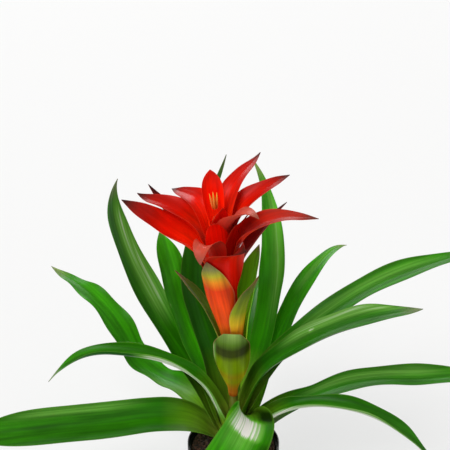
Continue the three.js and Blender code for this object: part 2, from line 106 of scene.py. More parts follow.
LEAVES = [
    blade("leaf_left_wavy", 140, 387, 47, (62, 4, -6, 14, 57, 38, 20, 6, 14), wave=2.4, waves=5.5,
          tone=1.1, patches=[(0.7, 0.3, 0.1, 0.45, 0.1, 0.4)]),
    blade("leaf_right_low", 3, 330, 50, (53, 27, 24, 9, -3, 3, 6), taper_from=0.76, taper_power=3,
          flare=(0.3, 0.8), neck=0.8, tone=0.68, patches=[(0.55, 0.25, 0.25, 0.95, 0.2, 0.4)]),
    blade("leaf_left_low", 191, 345, 52, (56, 11, -1, 2, 1, 1, 1), roll=(-24, -36, -38),
          taper_from=0.66, taper_power=2.6, neck=1, flare=(0.2, 0.4), wave=0.8, waves=2.5,
          tone=0.66, patches=[(-0.75, 0.2, 0.3, 0.9, 0.2, 0.35), (0.9, 0.5, 0.0, 0.2, 0.08, -0.6)]),
    # Its patch paints a pale sheen along its near side.
    blade("leaf_right_arch", 348, 304, 34, (58, 34, 12, -8, -26, -42, -52), channel=(11, 14),
          tone=0.6, patches=[(-0.65, 0.45, 0.06, 1.0, 0.06, 0.9)]),
    blade("leaf_back_low", 80, 300, 38, (64, 38, 14, 0, -14)),
    blade("leaf_back_mid", 94, 310, 34, (70, 44, 24, 4, -12)),
    # Its patches paint a sheen along its middle and a lit pale edge.
    blade("leaf_tall_left", 150, 379, 55, (71, 50, 51, 57, 64, 77, 120), wave=1.6, waves=3.0,
          tone=0.85,
          patches=[(-0.55, 0.45, 0.4, 0.97, 0.15, 0.6), (-0.97, 0.05, 0.2, 0.58, 0.1, 0.95)]),
    blade("leaf_right_back", 48, 315, 30, (71, 48, 51, 54, 34, 18, -22), tone=1.3,
          patches=[(0.2, 0.3, 0.6, 1.0, 0.13, 0.3)]),
    blade("leaf_back_left", 133, 276, 46, (77, 51, 52, 66, 70, 65), taper_from=0.74, taper_power=3,
          tone=1.5, ripe=0.93, patches=[(0.8, 0.06, 0.645, 0.675, 0.01, 0.8)]),
    blade("leaf_back_tall", 56, 364, 35, (77, 54, 62, 76, 80, 71, 54),
          turns=(0, 0, 8, 10, 50, 69, 94), tone=1.45,
          patches=[(-0.5, 0.42, 0.35, 0.95, 0.15, 0.42)]),
    # Its low tone is painted shade.
    blade("leaf_back", 122, 369, 44, (81, 60, 52, 69, 72, 62, 65), taper_from=0.42,
          taper_power=1.4, turns=(0, 0, 1, -49, -91, -78), tone=0.42),
    # Its patches paint a whitish sheen on the crest of its bend and shade on its far half.
    blade("leaf_front", 299, 284, 70, (80, 40, -4, -33, -50, -50, -50, -59), neck=0.92,
          sheath_width=45, turns=(0, -12, -52, -71, -79, -82, -82), roll=(1, -31, -27, -20, -15),
          channel=(18, 19, 32, 64, 90, 90, 90, 90), tone=1.2,
          patches=[(-0.1, 0.95, 0.25, 0.4, 0.035, 0.85), (-0.1, 0.7, 0.24, 0.5, 0.1, 0.3),
                   (0.6, 0.4, -0.1, 0.29, 0.03, -0.9), (0.88, 0.3, 0.2, 0.8, 0.08, -0.9)]),
    # Its patch paints a pale sheen along its near side.
    blade("leaf_left_arch", 179, 296, 34, (77, 63, 32, 12, 2, -31, -55), channel=(19, 10, 11, 15),
          tone=0.8, patches=[(0.65, 0.45, 0.05, 0.6, 0.1, 0.95)]),
    blade("leaf_right_upper", 22, 418, 49, (78, 54, 31, 26, 13, 7, 4), taper_from=0.62,
          taper_power=2.6, flare=(0.3, 0.72), tone=0.78,
          patches=[(0.45, 0.25, 0.25, 0.95, 0.2, 0.35)]),
    blade("leaf_right_mid", 2, 303, 54, (82, 73, 41, 29, 22, 12, 8), taper_from=0.64,
          taper_power=2.2, tone=0.62,
          patches=[(0.75, 0.25, 0.35, 0.97, 0.15, 0.6), (0.6, 0.06, 0.52, 0.55, 0.01, 0.5)]),
]
SCAPE_BRACTS = [
    blade("scape_bract_front", 264, 106, 58, (77, 72, 75, 78, 90, 118), foot=180, sheath_radius=10,
          sheath_width=13, neck=0.3, taper_from=0.72, taper_power=2.6, tip_width=22,
          channel=(18, 24, 25), roll=(0, 8), flare=(0.14, 0.62), wave=1.2, waves=1.5, sweep=-0.06,
          patches=[(-0.95, 0.12, 0.5, 0.9, 0.12, 0.8)]),
    # Its high tone paints light onto a bract that stands in the shade of the head.
    blade("scape_bract_right_back", 40, 168, 44, (79, 86, 78, 78, 68), foot=216, sheath_radius=9,
          taper_from=0.6, tone=1.35),
]
HEAD_GREEN_BRACTS = [
    blade("scape_bract_left", 168, 132, 26, (78, 76, 68, 62, 56, 52), foot=0, sheath_radius=15),
    blade("scape_bract_right", 318, 130, 36, (78, 76, 64, 59, 59), foot=8, sheath_radius=14),
    blade("scape_bract_left_front", 250, 142, 44, (82, 74, 79, 74, 70), foot=16, sheath_radius=13,
          neck=0.72, taper_from=0.55, taper_power=2.2, channel=(21, 25), opening=60),
]
RED_BRACTS = [
    # Its dark patch is painted shade.
    blade("red_bract_front_right", 284, 158, 58, (79, 79, 78, 62, 0), foot=32, sheath_radius=11.7,
          sheath_width=26, neck=0.36, flare=(0.42, 0.74), turns=(0, 0, 0, 10, 60),
          channel=(20, 40), opening=90, taper_from=0.78, tone=0.95,
          patches=[(-0.75, 0.3, 0.3, 0.9, 0.15, -0.45)]),
    # The low tone of these two back bracts is painted shade.
    blade("red_bract_left_back", 142, 166, 28, (76, 56, 46, 42, 44, 46), tone=0.4),
    blade("red_bract_right_back", 14, 133, 28, (75, 48, 44, 46, 42, 32), tone=0.35),
    blade("red_bract_back_low", 88, 140, 30, (78, 62, 40, 26, 10)),
    blade("red_bract_left_low", 178, 165, 54, (79, 52, 36, 46, 43, 38), channel=(22, 32),
          roll=(-8, -22), tone=1.35, patches=[(0.0, 1.5, 0.62, 1.2, 0.2, -0.4)]),
    blade("red_bract_right_low", 350, 163, 52, (83, 56, 32, 14, -6, -11), channel=(22, 30),
          roll=(6, 14), taper_from=0.3, taper_power=1.4, bloom=0.1, tone=0.8),
    blade("red_bract_left_front", 245, 100, 40, (82, 76, 62, 18, -54, -90), bloom=0.35),
    blade("red_bract_right_inner", 332, 100, 30, (83, 80, 66, 50, 48), channel=(22, 21), tone=0.6),
    blade("red_bract_front", 268, 88, 36, (83, 83, 80, 71, 30), ripe=0.9, tone=1.2),
    blade("red_bract_left_mid", 158, 143, 44, (81, 65, 42, 30, 14, 29), roll=(8, -14),
          channel=(21, 20)),
    blade("red_bract_right_upper", 17, 144, 40, (84, 74, 49, 27, 22, 9), roll=(6, 14),
          sheath_width=28, channel=(19, 21)),
    blade("red_bract_right_small", 322, 108, 42, (84, 84, 62, 39, 17, -42), roll=(-1, -3),
          neck=0.89, sheath_width=25, bloom=0.4),
    blade("red_bract_back_upper", 127, 133, 34, (86, 81, 52, 3, -4, -6), roll=(-3, -18)),
    blade("red_bract_back_tall", 50, 146, 30, (86, 84, 53, 29, 14, 26), roll=(13, -4),
          sheath_width=21, channel=(19, 22)),
    blade("red_bract_inner_front", 297, 69, 31, (85, 87, 78, 70, 63), sheath_width=22, roll=(3, 4),
          ripe=0.9),
    # Its high tone paints the glow of light shining through the hood.
    blade("red_bract_hood", 108, 104, 34, (85, 86, 90, 97, 104, 112), sheath_width=22,
          taper_from=0.6, taper_power=2.8, channel=(8, 9, 14, 20), ripe=0.88, tone=1.8),
]


# ---- Blades: leaves and bracts ----

MIDRIB_STEPS = 960
SMOOTHING = 41  # midrib steps that a change of slope or heading is eased over
CLASP_END = 0.04  # share of the length past the sheath where the blade starts to open
THROAT = 0.24  # share of the length from there to the blade's neck
GROOVE_WIDTH = 0.16  # share of the half width that the midrib's groove takes
MARGIN_LAG = 1.3  # how far the waves of the two margins are out of step, in radians
EDGE_THINNING = 0.55  # share of the thickness that is lost at the margins
WAX_START, WAX_FULL = 0.35, 0.8  # shares of the length between which the wax sets in


def clamp01(value):
    return np.clip(value, 0.0, 1.0)


def mix(start, end, share):
    return start + (end - start) * share


def ease(start, end, at):
    """0 before start, 1 after end, and a smooth S between them."""
    share = clamp01((at - start) / (end - start))
    return share * share * (3 - 2 * share)


def along_stops(stops, share):
    """The value at share (0 to 1) along equally spaced stops."""
    return np.interp(clamp01(share), np.linspace(0, 1, len(stops)), stops)


def smoothed(values):
    """A running mean, which keeps both ends."""
    padded = np.pad(values, SMOOTHING // 2, mode="edge")
    return np.convolve(padded, np.ones(SMOOTHING) / SMOOTHING, mode="valid")[: len(values)]


class Blade:
    """A blade that clasps its stem with a round sheath and opens into a channelled strap."""

    def __init__(self, plan):
        vars(self).update(plan)
        self.foot_radius = self.stem_radius + GAP + self.thickness / 2
        low, high = self.foot_slope * DEGREE, self.slopes[0] * DEGREE
        reach = self.sheath_radius - self.foot_radius
        self.sheath = reach * (high - low) / (math.sin(high) - math.sin(low))
        self.make_midrib()

    def share(self, distance):
        """How far along the open strap a distance from the foot is, from 0 to 1."""
        return clamp01((distance - self.sheath) / (self.length - self.sheath))

    def make_midrib(self):
        """Slopes, headings and places of the midrib at equal distances."""
        self.marks = np.linspace(0, self.length, MIDRIB_STEPS + 1)
        share = self.share(self.marks)
        climbing = mix(self.foot_slope, self.slopes[0], clamp01(self.marks / self.sheath))
        slope = np.where(self.marks < self.sheath, climbing, along_stops(self.slopes, share))
        self.slope = smoothed(slope) * DEGREE
        self.heading = smoothed(self.azimuth + along_stops(self.turns, share)) * DEGREE
        slope = (self.slope[1:] + self.slope[:-1]) / 2
        heading = (self.heading[1:] + self.heading[:-1]) / 2
        step = self.length / MIDRIB_STEPS
        steps = step * np.stack(
            [np.cos(slope) * np.cos(heading), np.cos(slope) * np.sin(heading), np.sin(slope)], 1
        )
        start = self.azimuth * DEGREE
        foot = [self.foot_radius * math.cos(start), self.foot_radius * math.sin(start), self.foot]
        self.rib = np.vstack([foot, foot + np.cumsum(steps, axis=0)])

    def width_at(self, distance):
        """The width of the sheath, throat, strap and point."""
        share = distance / self.length
        sheath_end = self.sheath / self.length + CLASP_END
        clasp = mix(self.foot_width, self.sheath_width, ease(0, sheath_end, share))
        opened = ease(sheath_end, sheath_end + THROAT, share)
        strap = mix(mix(clasp, self.width * self.neck, opened), self.width, ease(*self.flare, share))
        point = clamp01((share - self.taper_from) / (1 - self.taper_from)) ** self.taper_power
        return mix(strap, self.tip_width, point)

    def surface(self):
        """Rows of points of the middle surface, with each point's distance and place across."""
        distance = self.length * np.linspace(0, 1, self.rows + 1) ** self.row_spread
        distance = distance[:, None]
        across = np.linspace(-1, 1, self.cells + 1)[None, :]
        aside = self.width_at(distance) / 2 * across
        rib = [np.interp(distance, self.marks, self.rib[:, axis]) for axis in range(3)]
        slope = np.interp(distance, self.marks, self.slope)
        heading = np.interp(distance, self.marks, self.heading)
        share = self.share(distance)
        roll = along_stops(self.roll, share) * DEGREE

        out = np.hypot(rib[0], rib[1])
        around = np.arctan2(rib[1], rib[0]) + aside / out
        ring = np.broadcast_arrays(out * np.cos(around), out * np.sin(around), rib[2])
        wrapped = np.stack(ring, -1)

        bend = along_stops(self.channel, share)
        side = bend * np.sin(aside / bend)
        rise = bend * (1 - np.cos(aside / bend))
        swell = ease(0.05, 0.3, share) * ease(1.0, 0.8, share)  # fades out at both ends
        turn = 2 * math.pi * self.waves * share + self.azimuth
        rise = rise + self.wave * swell * across**2 * np.sin(turn + MARGIN_LAG * np.sign(across))
        rise = rise - self.groove * swell * np.exp(-((across / GROOVE_WIDTH) ** 2))
        level = side * np.cos(roll) - rise * np.sin(roll)
        lift = side * np.sin(roll) + rise * np.cos(roll)
        strap = np.stack(
            [
                rib[0] - level * np.sin(heading) - lift * np.sin(slope) * np.cos(heading),
                rib[1] + level * np.cos(heading) - lift * np.sin(slope) * np.sin(heading),
                rib[2] + lift * np.cos(slope),
            ],
            -1,
        )
        opened = ease(self.sheath, self.sheath + self.opening, distance)[..., None]
        return mix(wrapped, strap, opened), distance, across, aside


def leaned(points):
    """Head points, given above the bend, as they stand on the leaning scape."""
    sine, cosine = math.sin(-SCAPE_LEAN * DEGREE), math.cos(SCAPE_LEAN * DEGREE)
    x, y, z = points[..., 0], points[..., 1], points[..., 2]
    return np.stack([x * cosine + z * sine, y, SCAPE_BEND - x * sine + z * cosine], -1)


def grid_faces(rows, columns, first, flip):
    """Quads between the points of a grid that starts at the index first."""
    row, column = np.meshgrid(np.arange(rows - 1), np.arange(columns - 1), indexing="ij")
    low = first + row * columns + column
    quads = np.stack([low, low + columns, low + columns + 1, low + 1], -1).reshape(-1, 4)
    return quads[:, ::-1] if flip else quads


def painted_sheen_and_shade_on(blade, across, along):
    """How strongly the blade's patches paint sheen (above 0) and shade (below 0) at each place."""
    strength = np.zeros_like(across * along)
    for middle, spread, start, end, soft, most in blade.patches:
        length = ease(start, start + soft, along) * ease(end, end - soft, along)
        strength = strength + most * length * np.exp(-(((across - middle) / spread) ** 2))
    return strength


def blade_mesh(name, blade, on_head):
    """A closed mesh of the blade with its place and its size in the attributes."""
    points, distance, across, aside = blade.surface()
    rows, columns = points.shape[:2]
    normals = np.cross(np.gradient(points, axis=0), -np.gradient(points, axis=1))
    normals /= np.maximum(np.linalg.norm(normals, axis=-1, keepdims=True), 1e-9)
    half = blade.thickness / 2 * (1 - EDGE_THINNING * np.abs(across) ** 5)[..., None]
    faces = [points + normals * half, points - normals * half]
    if on_head:
        faces = [leaned(face) for face in faces]
    vertices = np.concatenate([face.reshape(-1, 3) for face in faces]) * MM

    size = rows * columns
    index = np.arange(size).reshape(rows, columns)
    loop = np.concatenate([index[0], index[1:, -1], index[-1, -2::-1], index[-2:0:-1, 0]])
    after = np.roll(loop, -1)
    upper = grid_faces(rows, columns, 0, flip=True)
    under = grid_faces(rows, columns, size, flip=False)
    rim = np.stack([loop, after, after + size, loop + size], -1)

    mesh = bpy.data.meshes.new(name)
    mesh.from_pydata(vertices.tolist(), [], np.concatenate([upper, under, rim]).tolist())
    mesh.polygons.foreach_set("use_smooth", np.ones(len(mesh.polygons), bool))
    edge = {tuple(sorted(pair)) for pair in zip(loop.tolist(), after.tolist())}
    edge |= {(a + size, b + size) for a, b in edge}
    sharp = [tuple(sorted(e.vertices)) in edge for e in mesh.edges]
    mesh.attributes.new("sharp_edge", "BOOLEAN", "EDGE").data.foreach_set("value", sharp)

    across, along, aside, distance = np.broadcast_arrays(
        across, distance / blade.length, aside, distance
    )
    wax = blade.bloom * ease(WAX_START, WAX_FULL, along)
    colour_at = along * blade.ripe + blade.sweep * across**2 * along
    patches = painted_sheen_and_shade_on(blade, across, along)
    both = [
        np.tile(values.ravel(), 2)
        for values in (across, colour_at, wax, patches, aside * MM, distance * MM)
    ]
    place = (both[0], both[1], np.repeat([0.0, 1.0], size))
    # The cast carries the tone, which is partly painted shade, the wax, and the painted sheen and
    # shade of the patches.
    cast = (np.full(2 * size, blade.tone), both[2], both[3])
    for title, values in (("blade_place", place), ("blade_cast", cast)):
        attribute = mesh.attributes.new(title, "FLOAT_VECTOR", "POINT")
        attribute.data.foreach_set("vector", np.column_stack(values).ravel())
    corners = np.array([corner.vertex_index for corner in mesh.loops])
    strap = np.column_stack(both[4:])[corners]
    mesh.uv_layers.new(name="strap").data.foreach_set("uv", strap.ravel())
    mesh.validate()
    return mesh


# ---- Colours ----
# Blade colours run from the foot (0) to the tip (1), upper face and underside.

LEAF_MARGIN, SCAPE_MARGIN, RED_MARGIN = "#5f8f2c", "#b87a5a", "#c8402c"
WAX = "#dc7a60"
# The painted sheen: its green, and the near white of its strongest highlights.
PAINTED_SHEEN, PAINTED_HIGHLIGHT_WHITE = "#8fcc5c", "#e4e2da"
DUST = "#4a4238"
WHITE = "#ffffff"
LEAF_UPPER = [
    (0.0, "#9cb42c"), (0.1, "#5f9a0e"), (0.24, "#1a7000"), (0.6, "#0c6000"), (0.93, "#166c00"),
    (0.98, "#5c7a2a"), (1.0, "#82886a"),
]
LEAF_UNDER = [
    (0.0, "#a8b83c"), (0.12, "#74a020"), (0.3, "#2c7c04"), (0.9, "#32800c"), (0.98, "#768848"),
    (1.0, "#82886a"),
]
RED_UPPER = [
    (0.0, "#e8761a"), (0.2, "#e43004"), (0.45, "#dc1200"), (0.8, "#d40c00"), (0.92, "#9a1008"),
    (0.975, "#4c1a14"), (1.0, "#221210"),
]
RED_UNDER = [
    (0.0, "#e8761a"), (0.25, "#dc2804"), (0.6, "#c61202"), (0.85, "#a6140a"), (0.96, "#50201a"),
    (1.0, "#221210"),
]
SCAPE_COLOURS = {
    "scape_bract_front": [
        (0.0, "#dc701c"), (0.15, "#c07a18"), (0.27, "#8f960e"), (0.37, "#8a800e"),
        (0.46, "#6f8a06"), (0.62, "#627c04"), (0.71, "#303a06"), (0.79, "#2c3606"),
        (0.87, "#4c6c1c"), (1.0, "#7c9850"),
    ],
    "scape_bract_right_back": [
        (0.0, "#d8c43a"), (0.22, "#96cc1c"), (0.6, "#66c010"), (0.92, "#5eac1c"), (1.0, "#6a5a30"),
    ],
    "scape_bract_left": [
        (0.0, "#dc9a2c"), (0.2, "#a0a42c"), (0.45, "#5f7f1c"), (0.8, "#4a641c"), (0.95, "#6a5430"),
        (1.0, "#4a2c22"),
    ],
    "scape_bract_right": [
        (0.0, "#e0661c"), (0.2, "#dc6a1a"), (0.36, "#c8a41c"), (0.5, "#7f8c1e"),
        (0.8, "#4f6420"), (0.94, "#6a5030"), (1.0, "#4a2c20"),
    ],
    "scape_bract_left_front": [
        (0.0, "#dc7a1e"), (0.3, "#e04c12"), (0.66, "#d83a0e"), (0.76, "#d8821c"),
        (0.83, "#a8a02a"), (0.9, "#7a7a44"), (1.0, "#6f4a34"),
    ],
}
STEM_COLOURS = [
    (0.0, "#5a5226"), (0.2, "#5f6c1c"), (0.4, "#6a6a1c"), (0.6, "#a8621c"), (0.75, "#cc6a24"),
    (1.0, "#cc3a1c"),
]
FLORET_COLOURS = [(0.0, "#d8481a"), (0.45, "#ea7a1e"), (0.8, "#f2b234"), (1.0, "#f4cf5a")]
BARK = [(0.0, "#120d0a"), (0.3, "#2c1c14"), (0.55, "#4a2f20"), (0.75, "#5f3a2c"), (1.0, "#8a6248")]


# ---- Nodes, materials and pieces ----
# A Map Range node takes a value, the range it runs in and the range it is brought to. A Mix node
# of colours takes its share as input 0 and its colours as 6 and 7. The scale of a noise is given
# per millimetre, so that of a grain 2 mm across is 0.5 / MM.

OF_COLOURS = {"out": 2, "data_type": "RGBA"}


def add_node(tree, kind, inputs=(), stops=None, out=0, **settings):
    """Adds a node with its settings, colour stops and inputs, and returns one of its outputs.

    A kind without its family is a shader node's. Inputs come by name or number, or as a plain row
    in the node's own order. Each is a value, an output to link, or a list of outputs.
    """
    node = tree.nodes.new(kind if "Node" in kind else "ShaderNode" + kind)
    for name, value in settings.items():
        setattr(node, name, value)
    if stops:
        while len(node.color_ramp.elements) < len(stops):
            node.color_ramp.elements.new(1.0)
        for element, (place, code) in zip(node.color_ramp.elements, stops):
            element.position = place
            element.color = linear(code)
    named = inputs if isinstance(inputs, dict) else dict(enumerate(inputs))
    for key, value in named.items():
        for source in value if isinstance(value, list) else [value]:
            if isinstance(source, bpy.types.NodeSocket):
                tree.links.new(source, node.inputs[key])
            else:
                node.inputs[key].default_value = source
    return node.outputs[out] if node.outputs else None


def new_material(name):
    """An empty material, and what adds a node to it."""
    material = bpy.data.materials.new(name)
    material.use_nodes = True
    material.node_tree.nodes.clear()
    return material, partial(add_node, material.node_tree)


def surfaced(material, look):
    """Ends a material with its principled shader, whose sockets take this look."""
    shader = add_node(material.node_tree, "BsdfPrincipled", look)
    add_node(material.node_tree, "OutputMaterial", {"Surface": shader})
    return material


def blade_material(name, upper, under, margin, shine=0.32, streaks=0.6, glow=0.06):
    """Living blade tissue: colours from foot to tip on each face, fine veins and a soft cuticle.

    The veins stand about 1 mm apart on the real blade. They are drawn 2.5 mm apart so that
    they show, with broader streaks of lighter tissue between them, which are partly painted sheen.
    """
    material, add = new_material(name)
    place = add("Attribute", out="Vector", attribute_name="blade_place")
    across, along, face = add("SeparateXYZ", (place,)).node.outputs
    cast = add("Attribute", out="Vector", attribute_name="blade_cast")
    tone_and_painted_shade, bloom, patches = add("SeparateXYZ", (cast,)).node.outputs
    strap = add("UVMap", uv_map="strap")
    spot = add("TexCoord", out="Object")

    def pattern(spacing, run, detail):
        """Noise spacing millimetres across the blade and run millimetres along it."""
        scale = (1 / (spacing * MM), 1 / (run * MM), 1)
        scaled = add("Mapping", {"Vector": strap, "Scale": scale})
        shifted = add("VectorMath", (scaled, spot), operation="ADD")
        look = {"Vector": shifted, "Scale": 1.0, "Detail": detail, "Roughness": 0.55}
        return add("TexNoise", look)

    veins = pattern(2.5, 160, 2.0)
    broad = pattern(9.0, 110, 2.0)
    clouds = pattern(26.0, 45, 3.0)

    # Tissue: the face's colour, scaled by the blade's tone, which is partly painted shade, and made
    # darker and lighter by streaks, which are partly painted sheen, veins and clouds. Each row has
    # the pattern, its range, and what it dims and brightens to.
    faces = [add("ValToRGB", (along,), stops) for stops in (upper, under)]
    shaded = add("Mix", {0: face, 6: faces[0], 7: faces[1]}, **OF_COLOURS)
    strength = tone_and_painted_shade
    for row in (
        (broad, 0.35, 0.68, 1 - 0.42 * streaks, 1 + 0.55 * streaks),
        (veins, 0.3, 0.7, 1 - 0.22 * streaks, 1 + 0.25 * streaks),
        (clouds, 0.3, 0.7, 0.86, 1.12),
    ):
        share = add("MapRange", row)
        strength = add("Math", (strength, share), operation="MULTIPLY")
    shaded = add("VectorMath", {0: shaded, "Scale": strength}, operation="SCALE")

    # Over it lie the wax, the painted shade of the dark patches, the painted sheen of the pale ones,
    # and the margin.
    shaded = add("Mix", {0: bloom, 6: shaded, 7: linear(WAX)}, **OF_COLOURS)
    shadow = add("MapRange", (patches, -1.0, 0.0, 0.08, 1.0))
    shaded = add("VectorMath", {0: shaded, "Scale": shadow}, operation="SCALE")
    painted_sheen_streaks = add("MapRange", (veins, 0.34, 0.66, 0.55, 1.3))
    painted_sheen_share = add("Math", (patches, painted_sheen_streaks), operation="MULTIPLY")
    painted_highlight_whiteness = add("MapRange", (painted_sheen_share, 0.45, 0.95))
    painted_sheen_colour = add("Mix", {0: painted_highlight_whiteness, 6: linear(PAINTED_SHEEN), 7: linear(PAINTED_HIGHLIGHT_WHITE)}, **OF_COLOURS)
    shaded = add("Mix", {0: painted_sheen_share, 6: shaded, 7: painted_sheen_colour}, **OF_COLOURS)
    from_middle = add("Math", (across,), operation="ABSOLUTE")
    edge = add("MapRange", (from_middle, 0.9, 1.0, 0.0, 0.4), interpolation_type="SMOOTHSTEP")
    edged = {0: edge, 6: shaded, 7: linear(margin)}
    return surfaced(material, {
        "Base Color": add("Mix", edged, **OF_COLOURS),
        "Roughness": add("MapRange", (broad, 0.3, 0.7, shine + 0.08, shine - 0.04)),
        "Normal": add("Bump", {"Strength": 0.35, "Distance": 0.4 * MM, "Height": veins}),
        "IOR": 1.45,
        "Specular IOR Level": 0.1,
        "Subsurface Weight": glow,
        "Subsurface Radius": (1.0, 0.6, 0.2),
        "Subsurface Scale": 1.5 * MM,
    })


def finished_piece(name, mesh, node, material=None):
    """Links a mesh as a piece that rides on the row and stands for its node."""
    piece = bpy.data.objects.new(name, mesh)
    bpy.context.scene.collection.objects.link(piece)
    if material:
        mesh.materials.clear()
        mesh.materials.append(material)
    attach(piece, "root")
    if node:
        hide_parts(node)


def smooth_by_angle(mesh, limit):
    """Shades a mesh smooth, with edges over the limit in degrees kept sharp."""
    mesh.polygons.foreach_set("use_smooth", np.ones(len(mesh.polygons), bool))
    mesh.set_sharp_from_angle(angle=limit * DEGREE)


def new_tree(name, floats, integers):
    """A geometry node tree with named number inputs, what adds a node to it, and its inputs."""
    tree = bpy.data.node_groups.new(name, "GeometryNodeTree")
    kinds = {"Geometry": "Geometry"} | dict.fromkeys(floats, "Float") | dict.fromkeys(integers, "Int")
    for title, kind in kinds.items():
        tree.interface.new_socket(title, in_out="INPUT", socket_type="NodeSocket" + kind)
    tree.interface.new_socket("Geometry", in_out="OUTPUT", socket_type="NodeSocketGeometry")
    return tree, partial(add_node, tree), add_node(tree, "NodeGroupInput").node.outputs


def end_tree(add, geometry, material):
    """Ends a tree with real geometry in its material."""
    real = add("GeometryNodeRealizeInstances", (geometry,))
    coated = add("GeometryNodeSetMaterial", {"Geometry": real, "Material": material})
    add("NodeGroupOutput", (coated,))


def grown(name, base, tree, values):
    """The plain mesh that a node tree makes of the base mesh with these input values."""
    grower = bpy.data.objects.new(name, base)
    bpy.context.scene.collection.objects.link(grower)
    modifier = grower.modifiers.new(name, "NODES")
    modifier.node_group = tree
    for item in tree.interface.items_tree:
        if item.in_out == "INPUT" and item.name in values:
            modifier[item.identifier] = values[item.name]
    bpy.context.view_layer.update()
    evaluated = grower.evaluated_get(bpy.context.evaluated_depsgraph_get())
    mesh = bpy.data.meshes.new_from_object(evaluated)
    grower.modifiers.clear()
    bpy.data.objects.remove(grower)
    mesh.name = name
    return mesh


# ---- Settings ----


def length(name, description, default):
    return FloatProperty(name=name, description=description, default=default, unit="LENGTH")


def colour(name, description, code):
    return FloatVectorProperty(
        name=name, description=description, default=linear(code), subtype="COLOR", size=4,
        min=0, max=1,
    )


class PotSettings(bpy.types.PropertyGroup):
    height: length("Height", "Height of the pot", 0.105)
    rim_radius: length("Rim radius", "Outer radius of the rim", 0.060)
    rim_height: length("Rim height", "Height of the stepped rim", 0.012)
    rim_step: length("Rim step", "How far the rim stands out", 0.0022)
    foot_radius: length("Foot radius", "Outer radius at the foot", 0.043)
    wall: length("Wall", "Thickness of the wall", 0.0015)
    drain_holes: IntProperty(name="Drain holes", description="Holes in the floor", default=6)
    colour: colour("Pot colour", "Black moulded plastic", "#0f0e0e")


class SoilSettings(bpy.types.PropertyGroup):
    depth: length("Depth", "How far the soil lies below the rim", 0.009)
    chip_length: length("Chip length", "Length of a middling bark chip", 0.006)
    seed: IntProperty(name="Seed", description="Seed of the lie of the chips", default=4)


class StageSettings(bpy.types.PropertyGroup):
    floor_colour: colour("Floor colour", "Plain pale floor", "#919190")
    key_power: FloatProperty(name="Key light", description="Wide soft light from above", default=2.2)
    fill_power: FloatProperty(name="Fill light", description="Wide light from the side", default=0.5)
    back_power: FloatProperty(name="Back light", description="Light from behind", default=1.3)
    floor_glow: FloatProperty(
        name="Floor glow", description="Light that the pale floor gives off itself", default=0.6
    )
    room_light: FloatProperty(name="Room light", description="Light from all round", default=0.28)


# ---- Pot ----

POT_SIDES = 128
POT_LIP = 0.6 * MM
DRAIN_RADIUS = 4 * MM
DRAIN_CIRCLE = 28 * MM
# Each line makes one length in the pot's tree out of two others.
POT_LENGTHS = (
    ("shoulder", "Height", "SUBTRACT", "Rim Height"),
    ("shoulder top", "shoulder", "ADD", POT_LIP),
    ("neck", "Rim Radius", "SUBTRACT", "Rim Step"),
    ("inner neck", "neck", "SUBTRACT", "Wall"),
    ("inner rim", "Rim Radius", "SUBTRACT", "Wall"),
    ("inner shoulder", "shoulder", "ADD", "Wall"),
    ("inner foot", "Foot Radius", "SUBTRACT", "Wall"),
    ("base edge", "Foot Radius", "SUBTRACT", POT_LIP),
    ("rim edge", "Rim Radius", "SUBTRACT", POT_LIP),
    ("lip outside", "Rim Radius", "SUBTRACT", POT_LIP * 0.5),
    ("lip inside", "inner rim", "ADD", POT_LIP * 0.3),
    ("below lip", "Height", "SUBTRACT", POT_LIP),
    ("below inner lip", "Height", "SUBTRACT", POT_LIP * 0.5),
)
# The pot's outline from the middle of its underside, up the outside and down the inside.
POT_OUTLINE = (
    (0.0, 0.0), ("base edge", 0.0), ("Foot Radius", POT_LIP), ("neck", "shoulder"),
    ("rim edge", "shoulder"), ("Rim Radius", "shoulder top"), ("Rim Radius", "below lip"),
    ("lip outside", "Height"), ("lip inside", "Height"), ("inner rim", "below inner lip"),
    ("inner rim", "inner shoulder"), ("inner neck", "inner shoulder"), ("inner foot", "Wall"),
    (0.0, "Wall"),
)
# The grid's point number says which ring of the outline it is on and its angle round the pot.
POT_TURN = (
    ("columns", "Sides", "ADD", 1.0),
    ("in column", "index", "ADD", 0.5),
    ("rings passed", "in column", "DIVIDE", "columns"),
    ("ring", "rings passed", "FLOOR", 0.0),
    ("points passed", "ring", "MULTIPLY", "columns"),
    ("spoke", "index", "SUBTRACT", "points passed"),
    ("share of turn", "spoke", "DIVIDE", "Sides"),
    ("angle", "share of turn", "MULTIPLY", 2 * math.pi),
    ("cosine", "angle", "COSINE", 0.0),
    ("sine", "angle", "SINE", 0.0),
)


